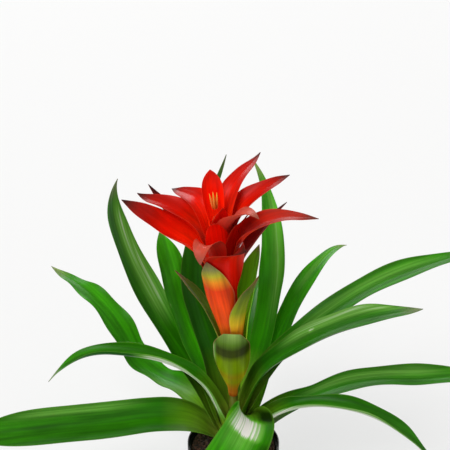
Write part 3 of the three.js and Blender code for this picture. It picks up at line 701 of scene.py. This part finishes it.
class BROMELIAD_OT_pot(bpy.types.Operator):
    """Turns the nursery pot with its stepped rim and cuts its drain holes"""

    bl_idname = "bromeliad.pot"
    bl_label = "Pot"

    def execute(self, context):
        pot = context.scene.bromeliad_pot
        values = {
            "Height": pot.height, "Rim Radius": pot.rim_radius, "Rim Height": pot.rim_height,
            "Rim Step": pot.rim_step, "Foot Radius": pot.foot_radius, "Wall": pot.wall,
            "Drain Radius": DRAIN_RADIUS, "Drain Circle": DRAIN_CIRCLE,
        }
        counts = {"Sides": POT_SIDES, "Drain Holes": pot.drain_holes}
        tree, add, sizes = new_tree("turned pot", values, counts)
        known = {name: sizes[name] for name in (*values, *counts)}
        known["index"] = add("GeometryNodeInputIndex")
        for title, first, operation, second in POT_LENGTHS + POT_TURN:
            terms = (known.get(first, first), known.get(second, second))
            known[title] = add("Math", terms, operation=operation)
        picks = []
        for part in (0, 1):
            pick = add("GeometryNodeIndexSwitch", {"Index": known["ring"]}, data_type="FLOAT").node
            while len(pick.index_switch_items) < len(POT_OUTLINE):
                pick.index_switch_items.new()
            for place, point in enumerate(POT_OUTLINE, start=1):
                if point[part] in known:
                    tree.links.new(known[point[part]], pick.inputs[place])
                else:
                    pick.inputs[place].default_value = point[part]
            picks.append(pick.outputs[0])
        level = [
            add("Math", (picks[0], known[share]), operation="MULTIPLY")
            for share in ("cosine", "sine")
        ]
        position = add("CombineXYZ", (*level, picks[1]))
        grid = add("GeometryNodeMeshGrid", (1.0, 1.0, len(POT_OUTLINE), known["columns"]))
        turned = add("GeometryNodeSetPosition", {"Geometry": grid, "Position": position})
        closed = add("GeometryNodeMergeByDistance", {"Geometry": turned, "Distance": 1e-6})
        circle = {"Vertices": sizes["Drain Holes"], "Radius": sizes["Drain Circle"]}
        circle = add("GeometryNodeMeshCircle", circle)
        drill = {"Vertices": 24, "Radius": sizes["Drain Radius"], "Depth": 8 * MM}
        drill = add("GeometryNodeMeshCylinder", drill)
        drills = add("GeometryNodeInstanceOnPoints", {"Points": circle, "Instance": drill})
        drills = add("GeometryNodeRealizeInstances", (drills,))
        cut = {"Mesh 1": closed, "Mesh 2": drills}
        drained = add("GeometryNodeMeshBoolean", cut, operation="DIFFERENCE")
        end_tree(add, drained, pot_material(pot.colour))
        mesh = grown("pot_shell", bpy.data.meshes.new("pot_base"), tree, {**values, **counts})
        smooth_by_angle(mesh, 32)
        finished_piece("pot_shell", mesh, "pot")
        return {"FINISHED"}


def pot_material(black):
    """Black polypropylene, injection moulded: satin, with a faint grain and a film of dust."""
    material, add = new_material("Black polypropylene, injection moulded")
    spot = add("TexCoord", out="Object")
    grain = add("TexNoise", {"Vector": spot, "Scale": 0.9 / MM, "Detail": 3.0})
    film = add("TexNoise", {"Vector": spot, "Scale": 0.06 / MM, "Detail": 6.0, "Roughness": 0.7})
    dust = add("MapRange", (film, 0.5, 0.85, 0.0, 0.35))
    dusty = {0: dust, 6: black, 7: linear(DUST)}
    return surfaced(material, {
        "Base Color": add("Mix", dusty, **OF_COLOURS),
        "Roughness": add("MapRange", (film, 0.3, 0.8, 0.36, 0.62)),
        "Normal": add("Bump", {"Strength": 0.2, "Distance": 0.1 * MM, "Height": grain}),
        "IOR": 1.49,
    })


# ---- Soil and bark ----

SOIL_CLEARANCE = 0.6 * MM  # between the soil and the pot's wall
SOIL_BEVEL = 1 * MM  # at the top edges of the soil
SHOULDER_DROP, SHOULDER_INSET, TOP_INSET = 2 * MM, 0.4 * MM, 0.6 * MM
SOIL_ROUGHNESS = 1.6 * MM
SOIL_LUMPS, SOIL_CRUMBS = 90, 260  # how many stand in a metre
SOIL_RINGS = 26
SOIL_SPOKES = 120
STEM_HOLE_RADIUS = 10.3 * MM
STEM_HOLE_FLOOR = 66 * MM
BED_INNER, BED_INSET, BED_LIFT = 14 * MM, 8.5 * MM, 0.8 * MM  # from the axis, the rim and the soil
BED_SPOKES = 48
CHIPS_PER_SQUARE_METRE = 52000.0
CRUMBS_PER_SQUARE_METRE = 220000.0
CHIP_TILT = 0.6  # how far a chip lies off level, in radians


def bark_material(name, scale):
    """Composted bark: dry and matt, each chip its own brown, with fibres and dark hollows."""
    material, add = new_material(name)
    spot = add("TexCoord", out="Object")
    shade = add("TexNoise", {"Vector": spot, "Scale": scale, "Detail": 2.0})
    fibre = add("TexNoise", {"Vector": spot, "Scale": 1.4 / MM, "Detail": 4.0, "Roughness": 0.7})
    mixed = add("Math", (fibre, 0.35), operation="MULTIPLY")
    mixed = add("Math", (shade, mixed), operation="ADD")
    share = add("MapRange", (mixed, 0.4, 0.95))
    return surfaced(material, {
        "Base Color": add("ValToRGB", (share,), BARK),
        "Normal": add("Bump", {"Strength": 0.7, "Distance": 0.4 * MM, "Height": fibre}),
        "Roughness": 0.9,
    })


def ring_points(radius, height, spokes):
    """Points at equal angles round the pot's axis."""
    angles = [2 * math.pi * spoke / spokes for spoke in range(spokes)]
    return [Vector((radius * math.cos(a), radius * math.sin(a), height)) for a in angles]


def ring_faces(rings, spokes):
    """Quads between each ring of points and the next."""
    return [
        (ring * spokes + spoke, ring * spokes + (spoke + 1) % spokes,
         (ring + 1) * spokes + (spoke + 1) % spokes, (ring + 1) * spokes + spoke)
        for ring in range(rings - 1)
        for spoke in range(spokes)
    ]


class BROMELIAD_OT_soil(bpy.types.Operator):
    """Fills the pot with bark mix, with its rough top and the hole for the stem"""

    bl_idname = "bromeliad.soil"
    bl_label = "Soil"

    def execute(self, context):
        low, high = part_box("soil")
        pot = context.scene.bromeliad_pot
        surface = pot.height - context.scene.bromeliad_soil.depth
        wide = pot.rim_radius - pot.rim_step - pot.wall - SOIL_CLEARANCE
        narrow = pot.foot_radius - pot.wall - SOIL_CLEARANCE
        shoulder = pot.height - pot.rim_height - SHOULDER_DROP
        edge = surface - SOIL_BEVEL
        wall = [(narrow, low.z), (wide - SHOULDER_INSET, shoulder), (wide - TOP_INSET, edge)]
        top = np.linspace(wide - 2 * SOIL_BEVEL, STEM_HOLE_RADIUS + SOIL_BEVEL, SOIL_RINGS)
        hole = [(STEM_HOLE_RADIUS, edge), (STEM_HOLE_RADIUS, STEM_HOLE_FLOOR)]
        rings = [*wall, *[(radius, surface) for radius in top], *hole]
        vertices = []
        for radius, height in rings:
            rough = SOIL_ROUGHNESS if height == surface and radius != top[-1] else 0.0
            for point in ring_points(radius, height, SOIL_SPOKES):
                swell = noise.noise(point * SOIL_LUMPS) + 0.7 * noise.noise(point * SOIL_CRUMBS)
                lift = min(max(rough * swell, -rough), rough)
                vertices.append((point.x, point.y, min(height + lift, high.z)))
        faces = ring_faces(len(rings), SOIL_SPOKES)
        faces.append(tuple(range(SOIL_SPOKES))[::-1])
        faces.append(tuple(range(len(vertices) - SOIL_SPOKES, len(vertices))))
        mesh = bpy.data.meshes.new("soil_mix")
        mesh.from_pydata(vertices, [], faces)
        smooth_by_angle(mesh, 50)
        material = bark_material("Composted bark, sieved fine", 0.42 / MM)
        finished_piece("soil_mix", mesh, "soil", material)
        return {"FINISHED"}


class BROMELIAD_OT_bark(bpy.types.Operator):
    """Scatters bark chips and crumbs over the top of the soil"""

    bl_idname = "bromeliad.bark"
    bl_label = "Bark chips"

    def execute(self, context):
        soil = context.scene.bromeliad_soil
        pot = context.scene.bromeliad_pot
        values = {
            "Chip Length": soil.chip_length, "Chip Density": CHIPS_PER_SQUARE_METRE,
            "Crumb Density": CRUMBS_PER_SQUARE_METRE,
        }
        tree, add, sizes = new_tree("bark chips", values, ["Seed"])
        layers = []
        # Each layer: its density, its size as a share of a chip's, and how flat its pieces are. A
        # Random Value node takes a vector's least and most as inputs 0 and 1, a number's as 2 and 3.
        for title, share, shape in (
            ("Chip Density", 1.0, (1.0, 0.55, 0.3)),
            ("Crumb Density", 0.36, (1.0, 0.85, 0.7)),
        ):
            spread = {"Mesh": sizes["Geometry"], "Density": sizes[title], "Seed": sizes["Seed"]}
            spread = add("GeometryNodeDistributePointsOnFaces", spread)
            lump = add("GeometryNodeMeshIcoSphere", {"Radius": 0.5, "Subdivisions": 2})
            crack = add("TexNoise", {"Scale": 1.6, "Detail": 1.0}, out="Color")
            push = add("VectorMath", (crack, (0.5, 0.5, 0.5)), operation="SUBTRACT")
            push = add("VectorMath", {0: push, "Scale": 0.9}, operation="SCALE")
            lump = add("GeometryNodeSetPosition", {"Geometry": lump, "Offset": push})
            flat = add("GeometryNodeTransform", {"Geometry": lump, "Scale": shape})
            lie = (CHIP_TILT, CHIP_TILT, 3.1416)
            turn = {0: tuple(-angle for angle in lie), 1: lie, "Seed": 11}
            turn = add("FunctionNodeRandomValue", turn, data_type="FLOAT_VECTOR")
            grade = {2: 0.5, 3: 1.5, "Seed": 5}
            scale = add("FunctionNodeRandomValue", grade, out=1, data_type="FLOAT")
            for factor in (sizes["Chip Length"], share):
                scale = add("Math", (scale, factor), operation="MULTIPLY")
            placed = {"Points": spread, "Instance": flat, "Rotation": turn, "Scale": scale}
            layers.append(add("GeometryNodeInstanceOnPoints", placed))
        joined = add("GeometryNodeJoinGeometry", {0: layers})
        end_tree(add, joined, bark_material("Pine bark, chipped", 0.26 / MM))
        bed = bpy.data.meshes.new("chip_bed")
        height = pot.height - soil.depth + BED_LIFT
        radii = (BED_INNER, pot.rim_radius - BED_INSET)
        rings = [ring_points(radius, height, BED_SPOKES) for radius in radii]
        faces = [(a, d, c, b) for a, b, c, d in ring_faces(2, BED_SPOKES)]
        bed.from_pydata(rings[0] + rings[1], [], faces)
        mesh = grown("bark_chips", bed, tree, {**values, "Seed": soil.seed})
        smooth_by_angle(mesh, 40)
        finished_piece("bark_chips", mesh, None)
        return {"FINISHED"}


# ---- Stem ----

# Heights and radii of the stock in the soil, its shoulder and the scape, in millimetres.
STEM_TOP = SCAPE_BEND + HEAD_HEIGHT * math.cos(SCAPE_LEAN * DEGREE) - GAP
STEM_RINGS = (
    (66, 8), (70, 10), (144, 10), (152, 5.5), (SCAPE_BEND, 5.5), (STEM_TOP - 6, 5.5), (STEM_TOP, 3.5),
)


class BROMELIAD_OT_stem(bpy.types.Operator):
    """Grows the stock and the leaning scape along their path"""

    bl_idname = "bromeliad.stem"
    bl_label = "Stem"

    def execute(self, context):
        tree, add, sizes = new_tree("stem along its path", ["Thickness"], ["Sides"])
        lean = math.tan(SCAPE_LEAN * DEGREE)
        points = [(-max(z - SCAPE_BEND, 0) * lean * MM, 0, z * MM) for z, _ in STEM_RINGS]
        path = bpy.data.meshes.new("stem_path")
        path.from_pydata(points, [(n, n + 1) for n in range(len(points) - 1)], [])
        radii = [radius * MM for _, radius in STEM_RINGS]
        path.attributes.new("girth", "FLOAT", "POINT").data.foreach_set("value", radii)
        girth = add("GeometryNodeInputNamedAttribute", {"Name": "girth"}, data_type="FLOAT")
        curve = add("GeometryNodeMeshToCurve", {"Mesh": sizes["Geometry"]})
        profile = {"Resolution": sizes["Sides"], "Radius": sizes["Thickness"]}
        profile = add("GeometryNodeCurvePrimitiveCircle", profile)
        sweep = {"Curve": curve, "Profile Curve": profile, "Scale": girth, "Fill Caps": True}
        end_tree(add, add("GeometryNodeCurveToMesh", sweep), stem_material())
        mesh = grown("stem_stalk", path, tree, {"Thickness": 1.0, "Sides": 40})
        smooth_by_angle(mesh, 40)
        finished_piece("stem_stalk", mesh, "stem")
        return {"FINISHED"}


def stem_material():
    """Fleshy stem: yellow-green with a warm blush higher up, and fine upright fibres."""
    material, add = new_material("Fleshy stem, living")
    spot = add("TexCoord", out="Object")
    height = add("SeparateXYZ", (spot,), out=2)
    share = add("MapRange", (height, 0.07, 0.43))
    blush = add("ValToRGB", (share,), STEM_COLOURS)
    stretched = add("Mapping", {"Vector": spot, "Scale": (0.9 / MM, 0.9 / MM, 0.03 / MM)})
    fibres = add("TexNoise", {"Vector": stretched, "Scale": 1.0})
    tone = add("MapRange", (fibres, 0.0, 1.0, 0.75, 1.2))
    return surfaced(material, {
        "Base Color": add("VectorMath", {0: blush, "Scale": tone}, operation="SCALE"),
        "Normal": add("Bump", {"Strength": 0.3, "Distance": 0.2 * MM, "Height": fibres}),
        "Roughness": 0.45,
        "Subsurface Weight": 0.08,
        "Subsurface Scale": 2 * MM,
    })


# ---- Leaves and bracts ----


def place_blades(plans, form, nest, material_for, on_head):
    """Makes one piece for each blade plan, in place of the node of the same name."""
    for place, plan in enumerate(plans):
        whole = dict(form)
        if nest:
            share = place / (len(plans) - 1)
            whole["foot"] = nest["foot"] + nest["pitch"] * place
            whole["sheath_radius"] = mix(nest["outer"], nest["inner"], share)
            if "wide" in nest:
                whole["sheath_width"] = mix(nest["wide"], nest["narrow"], share)
        whole.update(plan)
        name = plan["name"] + "_blade"
        mesh = blade_mesh(name, Blade(whole), on_head)
        finished_piece(name, mesh, plan["name"], material_for(plan["name"]))


class BROMELIAD_OT_leaves(bpy.types.Operator):
    """Grows the strap leaves from their funnel"""

    bl_idname = "bromeliad.leaves"
    bl_label = "Leaves"

    def execute(self, context):
        tissue = blade_material("Leaf tissue, living green", LEAF_UPPER, LEAF_UNDER, LEAF_MARGIN)
        place_blades(LEAVES, LEAF_FORM, LEAF_NEST, lambda _: tissue, on_head=False)
        return {"FINISHED"}


class BROMELIAD_OT_scape_bracts(bpy.types.Operator):
    """Grows the green and orange bracts of the scape"""

    bl_idname = "bromeliad.scape_bracts"
    bl_label = "Scape bracts"

    def execute(self, context):
        def tissue(name):
            stops = SCAPE_COLOURS[name]
            title = "Bract tissue, " + name.replace("scape_bract_", "").replace("_", " ")
            return blade_material(title, stops, stops, SCAPE_MARGIN, glow=0.05)

        place_blades(SCAPE_BRACTS, BRACT_FORM, None, tissue, on_head=False)
        place_blades(HEAD_GREEN_BRACTS, BRACT_FORM, None, tissue, on_head=True)
        return {"FINISHED"}


class BROMELIAD_OT_red_bracts(bpy.types.Operator):
    """Grows the star of red bracts"""

    bl_idname = "bromeliad.red_bracts"
    bl_label = "Red bracts"

    def execute(self, context):
        tissue = blade_material(
            "Bract tissue, living red", RED_UPPER, RED_UNDER, RED_MARGIN, shine=0.34,
            streaks=0.45, glow=0.1,
        )
        place_blades(RED_BRACTS, BRACT_FORM, RED_NEST, lambda _: tissue, on_head=True)
        return {"FINISHED"}


# ---- Florets ----

FLORETS = {
    "Length": 20 * MM, "Radius": 1.8 * MM, "Circle": 1.9 * MM, "Spread": 7 * DEGREE, "Count": 4,
}
FLORET_SEAT = HEAD_HEIGHT + GAP + 9  # height of the tuft's foot over the scape's bend


class BROMELIAD_OT_florets(bpy.types.Operator):
    """Sets the tuft of closed florets on the end of the scape"""

    bl_idname = "bromeliad.florets"
    bl_label = "Florets"

    def execute(self, context):
        lengths = ["Length", "Radius", "Circle", "Spread"]
        tree, add, sizes = new_tree("tuft of florets", lengths, ["Count"])
        ring = add("GeometryNodeMeshCircle", {"Vertices": sizes["Count"], "Radius": sizes["Circle"]})
        bud = add("GeometryNodeMeshUVSphere", {"Segments": 12, "Rings": 14, "Radius": 1.0})
        spot = add("GeometryNodeInputPosition")
        height = add("SeparateXYZ", (spot,), out=2)
        pinch = add("MapRange", (height, -1.0, 1.0, 1.15, 0.4))
        narrow = add("CombineXYZ", (pinch, pinch, 1.0))
        pinched = add("VectorMath", (spot, narrow), operation="MULTIPLY")
        bud = add("GeometryNodeSetPosition", {"Geometry": bud, "Position": pinched})
        half = add("Math", (sizes["Length"], 0.5), operation="MULTIPLY")
        girth = add("CombineXYZ", (sizes["Radius"], sizes["Radius"], half))
        raised = add("CombineXYZ", {2: half})
        bud = add("GeometryNodeTransform", {"Geometry": bud, "Translation": raised, "Scale": girth})
        turn = add("GeometryNodeInputIndex")
        turn = add("Math", (turn, 2 * math.pi), operation="MULTIPLY")
        turn = add("Math", (turn, sizes["Count"]), operation="DIVIDE")
        facing = add("CombineXYZ", {1: sizes["Spread"], 2: turn})
        grade = {2: 0.75, 3: 1.1, "Seed": 3}
        grade = add("FunctionNodeRandomValue", grade, out=1, data_type="FLOAT")
        tuft = {"Points": ring, "Instance": bud, "Rotation": facing, "Scale": grade}
        tuft = add("GeometryNodeInstanceOnPoints", tuft)
        middle = add("GeometryNodeTransform", {"Geometry": bud, "Scale": (1.05, 1.05, 1.12)})
        joined = add("GeometryNodeJoinGeometry", {0: [tuft, middle]})
        end_tree(add, joined, floret_material())
        mesh = grown("floret_tuft", bpy.data.meshes.new("floret_base"), tree, FLORETS)
        places = np.array([v.co for v in mesh.vertices]) / MM + (0, 0, FLORET_SEAT)
        mesh.vertices.foreach_set("co", (leaned(places) * MM).ravel())
        smooth_by_angle(mesh, 60)
        finished_piece("floret_tuft", mesh, "florets")
        return {"FINISHED"}


def floret_material():
    """Closed floret: waxy, orange at its foot and clear yellow at its tip."""
    material, add = new_material("Floret, waxy and closed")
    spot = add("TexCoord", out="Object")
    height = add("SeparateXYZ", (spot,), out=2)
    share = add("MapRange", (height, 0.435, 0.465))
    speck = add("TexNoise", {"Vector": spot, "Scale": 0.5 / MM})
    return surfaced(material, {
        "Base Color": add("ValToRGB", (share,), FLORET_COLOURS),
        "Normal": add("Bump", {"Strength": 0.2, "Distance": 0.2 * MM, "Height": speck}),
        "Roughness": 0.35,
        "Subsurface Weight": 0.2,
        "Subsurface Scale": 2 * MM,
    })


# ---- Stage ----

FLOOR_REACH = 30
FLOOR_DROP = 0.2 * MM
CAMERA_LENS = 75.2
CAMERA_PLACE = (-0.0110, -0.9987, 0.8836)
CAMERA_TILT = 65 * DEGREE


class BROMELIAD_OT_stage(bpy.types.Operator):
    """Sets the pale floor, the soft lights and the camera"""

    bl_idname = "bromeliad.stage"
    bl_label = "Stage"

    def execute(self, context):
        scene = context.scene
        stage = scene.bromeliad_stage
        floor = bpy.data.meshes.new("floor")
        ends = (-FLOOR_REACH, FLOOR_REACH)
        corners = [(x, y, -FLOOR_DROP) for y in ends for x in ends]
        floor.from_pydata(corners, [], [(0, 1, 3, 2)])
        floor.materials.append(surfaced(new_material("Pale matt floor")[0], {
            "Base Color": stage.floor_colour,
            "Roughness": 0.9,
            "Emission Color": linear(WHITE),
            "Emission Strength": stage.floor_glow,
        }))
        plane = bpy.data.objects.new("floor", floor)
        scene.collection.objects.link(plane)

        world = bpy.data.worlds.new("soft studio")
        world.use_nodes = True
        background = world.node_tree.nodes["Background"]
        background.inputs["Color"].default_value = linear(WHITE)
        background.inputs["Strength"].default_value = stage.room_light
        scene.world = world
        scene.view_settings.view_transform = "Standard"

        for name, direction, spread, power in (
            ("key", (0.5, 0.62, -1.0), 36, stage.key_power),
            ("fill", (-0.8, 0.5, -0.7), 60, stage.fill_power),
            ("back", (0.15, -0.9, -0.55), 40, stage.back_power),
        ):
            lamp = bpy.data.lights.new(name, "SUN")
            lamp.angle = spread * DEGREE
            lamp.energy = power
            light = bpy.data.objects.new(name, lamp)
            light.rotation_euler = Vector(direction).to_track_quat("-Z", "Y").to_euler()
            scene.collection.objects.link(light)

        camera = bpy.data.cameras.new("camera")
        camera.lens = CAMERA_LENS
        camera.sensor_width = 36
        eye = bpy.data.objects.new("camera", camera)
        eye.location = CAMERA_PLACE
        eye.rotation_euler = (CAMERA_TILT, 0, 0)
        scene.collection.objects.link(eye)
        scene.camera = eye
        return {"FINISHED"}


STEPS = [
    BROMELIAD_OT_stage,
    BROMELIAD_OT_pot,
    BROMELIAD_OT_soil,
    BROMELIAD_OT_bark,
    BROMELIAD_OT_stem,
    BROMELIAD_OT_leaves,
    BROMELIAD_OT_scape_bracts,
    BROMELIAD_OT_red_bracts,
    BROMELIAD_OT_florets,
]
SETTINGS = {
    "bromeliad_pot": PotSettings,
    "bromeliad_soil": SoilSettings,
    "bromeliad_stage": StageSettings,
}


class BROMELIAD_PT_panel(bpy.types.Panel):
    bl_idname = "BROMELIAD_PT_panel"
    bl_label = "Potted bromeliad"
    bl_space_type = "VIEW_3D"
    bl_region_type = "UI"
    bl_category = "Bromeliad"

    def draw(self, context):
        for name in SETTINGS:
            group = getattr(context.scene, name)
            box = self.layout.box()
            for size in group.__annotations__:
                box.prop(group, size)
        for step in STEPS:
            self.layout.operator(step.bl_idname)


def register():
    for kind in (*SETTINGS.values(), *STEPS, BROMELIAD_PT_panel):
        bpy.utils.register_class(kind)
    for name, kind in SETTINGS.items():
        setattr(bpy.types.Scene, name, PointerProperty(type=kind))


def unregister():
    for name in SETTINGS:
        delattr(bpy.types.Scene, name)
    for kind in (BROMELIAD_PT_panel, *reversed(STEPS), *SETTINGS.values()):
        bpy.utils.unregister_class(kind)


def main():
    register()
    for step in STEPS:
        group, name = step.bl_idname.split(".")
        getattr(getattr(bpy.ops, group), name)()


if __name__ == "__main__":
    main()
